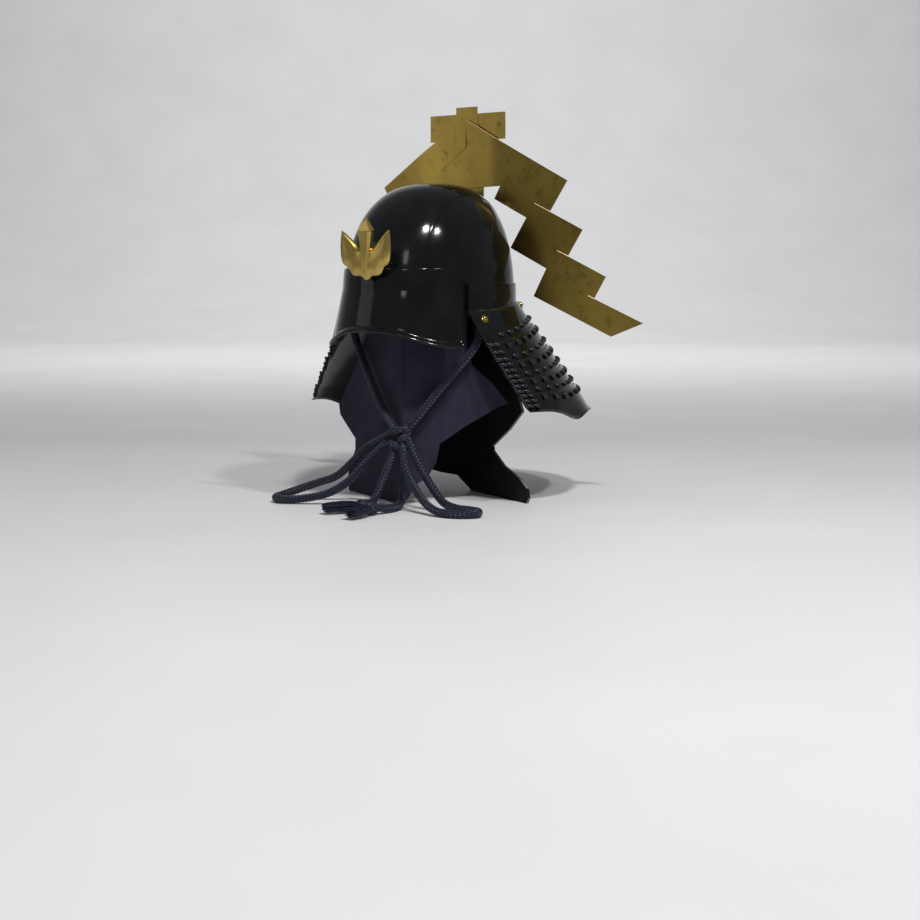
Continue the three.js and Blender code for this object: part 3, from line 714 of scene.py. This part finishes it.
def build_rings():
    x, y, z = RING_CENTRE
    a = np.linspace(0, 2 * pi, 49)[None]
    for side, name in ((1, "cord_ring_left"), (-1, "cord_ring_right")):
        line = stack(side * x + 0 * a, y + RING_RADIUS * np.sin(a), z - RING_RADIUS * np.cos(a))
        wire = tubes(line, RING_WIRE, RING_WIRE, np.array([1.0, 0, 0]), 12)
        make_piece(f"{name}_wire", [wire], [dark_iron], (name,))


# Front crest

FLAME_BACK = -138.0
LEAF_ROWS = 90              # points along a leaf's outer and inner line
FREE_RIM = 40               # those of the inner line that are clear of the blade
LEAF_REACH = 38             # a leaf's tip bends forward by TIP_FORWARD at this distance from the middle
TIP_FORWARD = 3.4


def spread(points, count):
    """That many points evenly along a line."""
    far = np.concatenate([[0], np.cumsum(np.linalg.norm(np.diff(points, axis=0), axis=1))])
    at = np.linspace(0, far[-1], count)
    return np.stack([np.interp(at, far, points[:, k]) for k in range(points.shape[1])], axis=1)


def rounded_line(points, count):
    """Points spread evenly along a line whose corners are cut twice."""
    points = np.array(points, float)
    for _ in range(2):
        mid_low = 0.75 * points[:-1] + 0.25 * points[1:]
        mid_high = 0.25 * points[:-1] + 0.75 * points[1:]
        inner = np.stack([mid_low, mid_high], axis=1).reshape(-1, points.shape[1])
        points = np.concatenate([points[:1], inner, points[-1:]])
    return spread(points, count)


def build_front_crest():
    """Two leaves and a blade. A leaf's relief is 1.5 mm at its rim and rises with the distance from it, with
    a bead along its inner side; its tip bends forward. The blade is a bar with a pyramid point."""
    outer = rounded_line([[0, 291], [3.5, 292.3], [6.5, 295.4], [10.5, 297.2], [15, 296.6], [19.5, 297.2],
                          [23.5, 300], [26, 304.8], [29.5, 308.6], [34, 310.4], [37.2, 315], [39, 324],
                          [39.2, 335], [38.6, 345], [37.2, 354]], LEAF_ROWS)
    inner = rounded_line([[0, 291], [-1.0, 300], [-1.0, 316], [3, 327], [8, 331], [13, 333.5],
                          [19, 339.5], [27, 346.4], [33, 351.2], [37.2, 354]], LEAF_ROWS)
    rim = np.concatenate([outer, inner[::-1][:FREE_RIM]])
    s = np.sin(np.linspace(-pi / 2, pi / 2, 25))[None, :, None] / 2 + 0.5
    flat = inner[:, None] * (1 - s) + outer[:, None] * s
    start, stop = rim[:-1], rim[1:]
    way = stop - start
    rel = flat[:, :, None] - start
    share = np.clip((rel * way).sum(-1) / np.maximum((way * way).sum(-1), 1e-9), 0, 1)
    near = np.linalg.norm(rel - share[..., None] * way, axis=-1).min(axis=-1)
    relief = 1.5 + 5.2 * np.tanh(near / 6.5) + 0.6 * np.sqrt(np.clip(near, 0, 1.2))
    ridge = 1.2 * np.exp(-((s[..., 0] - 0.13) / 0.1) ** 2) * smooth((flat[..., 1] - 318) / 12)
    forward = TIP_FORWARD * (np.abs(flat[..., 0]) / LEAF_REACH) ** 2
    parts = []
    for side in (1, -1):
        front = stack(side * flat[..., 0], FLAME_BACK - relief - ridge - forward, flat[..., 1])
        back = stack(side * flat[..., 0], FLAME_BACK - forward, flat[..., 1])
        parts.append(grid_part(np.concatenate([front, back[:, ::-1], front[:, :1]], axis=1)))
    levels = np.array([[298, 3.6, 4.6], [306, 5.6, 7.2], [325, 6.8, 8.2], [340, 8.6, 8.6], [352.2, 10.6, 9.0],
                       [352.8, 11.5, 9.7], [354.0, 11.5, 9.7], [370, 0.0, 3.0]])
    z, half, deep = levels[:, :1], levels[:, 1:2], levels[:, 2:]
    shape_x = np.array([[-1, -1, -0.68, 0.68, 1, 1, -1]])
    shape_y = np.array([[0, 0.6, 1, 1, 0.6, 0, 0]])
    blade = stack(half * shape_x, FLAME_BACK - 0.4 - deep * shape_y, z + 0 * shape_x)
    parts.append(grid_part(blade))
    count = blade.shape[1]
    first = sum(len(p[0]) for p in parts[:2])
    caps = [(first + np.arange(count - 1)).tolist()]
    piece = make_piece("front_crest_flame", parts, [satin_gold], ("front_crest",), caps, 30)
    ease_edges(piece, 0.4, segments=2, angle=32)


# Cords

def cord_line(route, step):
    """The smooth line through a route's points: cubic pieces whose knots are spaced by the square root of
    the distance between points, read off every step mm."""
    p = np.array(route, float)
    p = np.concatenate([2 * p[:1] - p[1:2], p, 2 * p[-1:] - p[-2:-1]])
    gaps = np.linalg.norm(np.diff(p, axis=0), axis=1) ** 0.5
    t = np.linspace(0, 1, 60)[:, None]
    pieces = []
    for a, b, c, d, g0, g1, g2 in zip(p, p[1:], p[2:], p[3:], gaps, gaps[1:], gaps[2:]):
        start = ((b - a) / g0 - (c - a) / (g0 + g1) + (c - b) / g1) * g1
        stop = ((c - b) / g1 - (d - b) / (g1 + g2) + (d - c) / g2) * g1
        pieces.append(b + start * t + (3 * (c - b) - 2 * start - stop) * t ** 2
                      + (2 * (b - c) + start + stop) * t ** 3)
    line = np.concatenate([q[:-1] for q in pieces] + [pieces[-1][-1:]])
    return evenly(line, step)


def evenly(line, step):
    length = np.cumsum(np.linalg.norm(np.diff(line, axis=0), axis=1))[-1]
    return spread(line, max(6, int(length / step)))


def carried_frame(line):
    """A direction square to the line, carried along it without twist."""
    ahead = unit(np.gradient(line, axis=0))
    first = np.array([0.31, 0.17, 0.93])    # no cord starts along this
    across = np.zeros_like(line)
    across[0] = unit(first - ahead[0] * (first @ ahead[0]))
    for i in range(1, len(line)):
        across[i] = unit(across[i - 1] - ahead[i] * (across[i - 1] @ ahead[i]))
    return across, np.cross(ahead, across)


def braid(line, radius, pitch=30.0, count=6):
    """A round braid: strand k runs at angle +-(2 pi s / pitch) + 2 pi k / count, and its distance from the
    middle swings with cos(2 pi count s / pitch), so those of one hand pass over while the others pass
    under. A plain core fills the middle, coloured near black as painted shade in the gaps between strands."""
    across, beside = carried_frame(line)
    far = np.concatenate([[0], np.cumsum(np.linalg.norm(np.diff(line, axis=0), axis=1))])
    k = np.arange(count)[:, None]
    lines, ups = [], []
    for hand in (1, -1):
        a = (hand * 2 * pi * far[None] / pitch + 2 * pi * k / count)[..., None]
        up = np.cos(a) * across + np.sin(a) * beside
        swing = radius * (0.70 + hand * 0.12 * np.cos(2 * pi * count * far / pitch))
        lines.append(line + up * swing[None, :, None])
        ups.append(up)
    strands = tubes(np.concatenate(lines), radius * 0.25, radius * 0.21, np.concatenate(ups), 6)
    # The core takes the second material, near black: painted shade seen in the gaps between the strands.
    core = tubes(line[None], radius * 0.6, radius * 0.6, across[None], 12, 1)
    return [strands, core]


CORD_ROUTES = {
    "chin_strand_left": ((100.5, -35, 230.2), (101.5, -36.4, 220), (97, -43, 203), (83, -55, 180),
                         (66, -70, 154), (50, -84, 128), (38, -96, 108), (28, -105, 93)),
    "chin_strand_right": ((-100.5, -35, 230.2), (-100, -36.5, 221), (-84, -50, 203), (-62, -64, 178),
                          (-38, -77, 151), (-14, -89, 124), (8, -98, 106), (22, -104, 95)),
    "bow_loop_left": ((32, -104, 95), (43, -109, 84), (61, -111, 56), (80, -111, 30), (98, -111, 12),
                      (116, -111, 6.6), (138, -113, 6.2), (155, -119, 6.2), (160, -130, 6.2),
                      (151, -142, 6.2), (134, -149, 6.2), (112, -147, 6.6), (88, -139, 15),
                      (65, -131, 34), (49, -125, 54), (40, -118, 74), (34, -114, 82)),
    "bow_loop_right": ((20, -104, 97), (9, -109, 92), (-8, -109, 84), (-28, -107, 74), (-48, -108, 56),
                       (-72, -113, 35), (-100, -120, 24), (-126, -131, 14), (-139, -146, 8),
                       (-138, -160, 6.4), (-124, -168, 6.2), (-100, -158, 7), (-66, -141, 15),
                       (-42, -130, 30), (-24, -122, 50), (-7, -117, 68), (7, -114, 81), (17, -112, 85)),
    "cord_tail_right": ((25, -109, 84), (23, -116, 72), (20, -123, 56), (16, -131, 36), (14, -142, 18),
                        (14, -153, 10), (15, -164, 9.4)),
    "cord_tail_left": ((27, -103, 82), (28, -100, 70), (28, -100, 52), (30, -104, 32), (34, -112, 15),
                       (39, -126, 7), (44, -144, 6.4), (44, -160, 6.8), (41, -176, 9.2)),
}
CORD_WIDTH = 11.0
STEP = 0.8                  # between points along a cord


def knot_line(centre, half, turn):
    """A three-lobed knot: x = sin t + 2 sin 2t, y = -sin 3t, z = cos t - 2 cos 2t, scaled to half."""
    t = np.linspace(0, 2 * pi, 400) + turn
    x, z, y = np.sin(t) + 2 * np.sin(2 * t), np.cos(t) - 2 * np.cos(2 * t), -np.sin(3 * t)
    return evenly(np.array(centre) + np.stack([x / 3 * half[0], y * half[1], z / 3 * half[2]], axis=1), STEP)


def wrap_line(centre, half, lean):
    """One closed turn round a knot: an ellipse from above whose height swings by lean."""
    t = np.linspace(0, 2 * pi, 300)
    x, y, z = half[0] * np.cos(t), half[1] * np.sin(t), lean * np.cos(t + 0.5)
    return evenly(np.array(centre) + np.stack([x, y, z], axis=1), STEP)


def build_knots():
    """Each knot is a three-lobed one; the chin's has two turns round it as well."""
    knots = {}
    places = (("chin_knot", (26, -107, 90), (13.6, 7.6, 12.6), 5.4, 0.4),
              ("end_knot_right", (15, -170, 9.6), (5.2, 4.4, 4.4), 4.6, 0.9),
              ("end_knot_left", (39, -185, 9.6), (5.2, 4.4, 4.4), 4.6, 0.1))
    wraps = {"chin_knot": (((25, -108, 98), (13, 9.5), 4), ((28, -108, 82), (11, 9.5), -3.5))}
    for name, centre, half, radius, turn in places:
        parts = braid(knot_line(centre, half, turn), radius)
        for middle, reach, lean in wraps.get(name, ()):
            parts += braid(wrap_line(middle, reach, lean), 5.0)
        knots[name] = make_piece(f"{name}_turns", parts, [navy_cord, lacing_cord_and_core_shade], (name,))
    return knots


def build_tufts():
    """Loose strands from an end knot: each keeps its share of the lobed drop's width and waves a little."""
    tufts = {}
    chance = np.random.default_rng(7)
    count = 130
    hidden = 6                              # the strands start this far from the end knot's middle
    for name, knot, end in (("tuft_right", (15, -170), (-16, -212)), ("tuft_left", (39, -185), (40, -232))):
        start, stop = np.array([*knot, 9.4]), np.array([*end, 8.6])
        ahead = unit(stop - start)
        first = start + ahead * hidden
        length = np.linalg.norm(stop - start) - hidden
        side = unit(np.cross(ahead, [0, 0, 1]))
        up = np.cross(side, ahead)
        s = np.linspace(0, 1, 16)[None, :]
        share = np.sqrt(chance.random((count, 1)))
        angle = chance.random((count, 1)) * 2 * pi
        reach = chance.uniform(0.84, 1.03, (count, 1))
        body = np.interp(s, [0, 0.1, 0.3, 0.6, 0.9, 1], [3.0, 5.6, 7.6, 8.6, 8.0, 7.2])
        wave = 0.75 * np.sin(2 * pi * (3.2 * s + chance.random((count, 1))))
        away = body * share + wave * s
        drop = 1 - 0.12 * s
        lines = (first + ahead * (length * s * reach)[..., None]
                 + side * (1.12 * away * np.cos(angle))[..., None]
                 + up * (0.88 * away * np.sin(angle) * drop)[..., None])
        lines[..., 2] = np.maximum(lines[..., 2], 0.8)
        parts = [tubes(lines, 0.62, 0.62, np.array([0.2, 0.1, 1.0]), 5)]
        tufts[name] = make_piece(f"{name}_strands", parts, [navy_cord], (name,))
    return tufts


def build_cords():
    knots = build_knots()
    tufts = build_tufts()
    for name, route in CORD_ROUTES.items():
        line = cord_line(route, STEP)
        piece = make_piece(f"{name}_braid", braid(line, CORD_WIDTH / 2), [navy_cord, lacing_cord_and_core_shade],
                           (name,))


# Rear crest, holders and stand

BEND_AT = 62.5              # the streamers' bend, from the middle
BEND = radians(10.4)
BEND_REACH = 25.0                           # the bend is eased over this far on each side, mm
BEND_CUTS = 13                              # across each streamer's bend
LEFT_FRONT, RIGHT_FRONT = 84.4, 85.9        # the streamers' front faces


def eased_bend(x):
    """How much an eased bend lies behind the sharp one: half a parabola, (x + reach)^2 tan b / 4 reach,
    less the straight run."""
    over = np.abs(x) - BEND_AT
    curve = np.clip(over + BEND_REACH, 0, 2 * BEND_REACH) ** 2 / (4 * BEND_REACH)
    straight = np.clip(over, 0, BEND_REACH)
    return np.tan(BEND) * (curve - straight)


def ease_bend(tidy):
    """Cuts a streamer into narrow strips round its bend and lays them on the eased curve."""
    for cut in np.linspace(BEND_AT - BEND_REACH, BEND_AT + BEND_REACH, BEND_CUTS) / 1000:
        for side in (1, -1):
            every = tidy.verts[:] + tidy.edges[:] + tidy.faces[:]
            bmesh.ops.bisect_plane(tidy, geom=every, plane_co=(side * cut, 0, 0), plane_no=(1, 0, 0))
    for vertex in tidy.verts:
        vertex.co.y += eased_bend(vertex.co.x * 1000) / 1000
    bmesh.ops.remove_doubles(tidy, verts=tidy.verts, dist=SLIVER)


def build_sheets():
    """Eased copies of the gilt sheets, their cut edges a paler gold as a painted highlight, and of the two
    holders. The streamers' sharp bends are eased as well."""
    for node in ("rear_crest_streamer_left", "rear_crest_streamer_right", "rear_crest_plate",
                 "rear_crest_stem"):
        # Faces that face neither front nor back, the cut edges, get the second material: the painted
        # highlight gold.
        eased_copy(f"{node}_sheet", node, [gold, gold_painted_highlight], 0.5,
                   lambda normal: int(abs(normal.y) < 0.5), ease_bend if "streamer" in node else None)
    for node in ("front_crest_holder", "rear_crest_holder"):
        eased_copy(f"{node}_block", node, [dark_iron], 0.8)


def sheet_lines(ends, side, face):
    """Straight lines on a streamer's front between ends given as (along, height). Past the bend the sheet
    turns back: x = at + run cos b, y = run sin b."""
    ends = np.array(ends, float)
    s = np.linspace(0, 1, 8)[None, :, None]
    flat = ends[:, :1] * (1 - s) + ends[:, 1:] * s
    run = np.maximum(flat[..., 0] - BEND_AT, 0)
    x = np.minimum(flat[..., 0], BEND_AT) + run * np.cos(BEND)
    return stack(side * x, face + run * np.sin(BEND) + eased_bend(x), flat[..., 1])


def build_folds():
    """A thin lip where each panel of a streamer starts and along the left one's top edge, coloured pale gold
    as a painted highlight, and a dark line painted along the lapped joint as its shadow gap."""
    forward = np.array([0, -1.0, 0])
    lips = (((106.5, 393.7), (129, 382)), ((139.5, 330.7), (155, 322.9)), ((183.5, 270.8), (192, 266.8)))
    lines = np.concatenate([sheet_lines(lips, 1, LEFT_FRONT), sheet_lines(lips, -1, RIGHT_FRONT),
                            sheet_lines((((2, 508.6), (61.5, 474.8)),), 1, LEFT_FRONT)])
    # The lips are real ridges; their pale gold colour is a painted highlight.
    make_piece("fold_ridges_painted_highlight", [tubes(lines, 0.6, 0.4, forward, 6)], [gold_painted_highlight])
    # Dark tubes along the joint: a painted shadow of the gap between the lapped sheets.
    joint = sheet_lines((((-0.5, 509), (2.5, 473)), ((2.4, 472.8), (-41.3, 441.8))), 1, RIGHT_FRONT)
    make_piece("joint_painted_shadow_lines", [tubes(joint, 0.5, 0.35, forward, 6)], [gold_painted_shadow])


def build_boards():
    """Plum cloth on the outside of each folded board, black inside, a pale worn arris between."""
    for node, outward in (("stand_front_board", -1), ("stand_rear_board", 1)):
        def kind(normal, outward=outward):
            if normal.y * outward > 0.4:
                return 0
            return 1 if normal.y * outward < -0.4 else 2

        eased_copy(f"{node}_cloth", node, [plum_cloth, inner_cloth, edge_cloth], 0.9, kind)


build_bowl()
build_brow()
build_band()
build_neck()
build_lacing()
build_edge_lacing()
build_studs()
build_rings()
build_front_crest()
build_cords()
build_sheets()
build_folds()
build_boards()


# Studio

def build_floor():
    """A pale floor that curves up into a backdrop far behind the helmet."""
    made, n, l, s = material("studio_floor", Roughness=0.55, Specular_IOR_Level=0.3)
    l.new(ramp(n, l, noise(n, l, 3, 3), [(0.3, (0.70, 0.70, 0.71)), (0.7, (0.74, 0.74, 0.75))]),
          s.inputs["Base Color"])
    turn = np.linspace(0, pi / 2, 24)
    y = np.concatenate([[-9, -3, 0, 3], 5 + 3 * np.sin(turn), [8]])
    z = np.concatenate([[0, 0, 0, 0], 3 - 3 * np.cos(turn), [8]])
    x = np.linspace(-14, 14, 12)
    a = radians(VIEW_ANGLE)
    points = stack(x[None, :] * np.cos(a) - y[:, None] * np.sin(a),
                   x[None, :] * np.sin(a) + y[:, None] * np.cos(a), z[:, None] + 0 * x[None, :])
    flat, quads = grid_part(points)[:2]
    mesh = bpy.data.meshes.new("floor")
    mesh.from_pydata(flat.tolist(), [], quads.tolist())
    mesh.materials.append(made)
    mesh.shade_smooth()
    floor = bpy.data.objects.new("floor", mesh)
    bpy.context.scene.collection.objects.link(floor)


def add_light(name, place, aim, size, power):
    lamp = bpy.data.lights.new(name, "AREA")
    lamp.shape = "RECTANGLE"
    lamp.size, lamp.size_y = size
    lamp.energy = power
    holder = bpy.data.objects.new(name, lamp)
    holder.location = place
    way = np.array(aim, float) - np.array(place, float)
    flat = np.hypot(way[0], way[1])
    holder.rotation_euler = (pi / 2 + np.arctan2(way[2], flat), 0, np.arctan2(way[1], way[0]) - pi / 2)
    bpy.context.scene.collection.objects.link(holder)


BOWL_FRONT = (0.05, -0.14, 0.35)
LAMPS = (                   # name, place, aim, size in metres, power in watts
    ("key", (1.36, -1.11, 2.51), BOWL_FRONT, (0.22, 0.22), 46),
    ("second_key", (1.83, -0.65, 2.33), BOWL_FRONT, (0.18, 0.18), 26),
    ("window", (0.86, -2.39, 1.61), BOWL_FRONT, (0.3, 0.5), 2),
    ("left_fill", (-2.3, -2.3, 1.35), (0, 0, 0.4), (1.6, 1.7), 5.5),
    ("backdrop", (-1.4, 2.08, 3.6), (-4.46, 6.64, 0.9), (4.0, 1.2), 200),
)


def build_light():
    world = bpy.data.worlds.new("studio")
    bpy.context.scene.world = world
    world.use_nodes = True
    back = world.node_tree.nodes["Background"]
    back.inputs["Color"].default_value = (0.80, 0.81, 0.84, 1)
    back.inputs["Strength"].default_value = 0.25
    for lamp in LAMPS:
        add_light(*lamp)


build_floor()
build_light()
bpy.context.scene.view_settings.view_transform = "Standard"

bpy.context.view_layer.update()
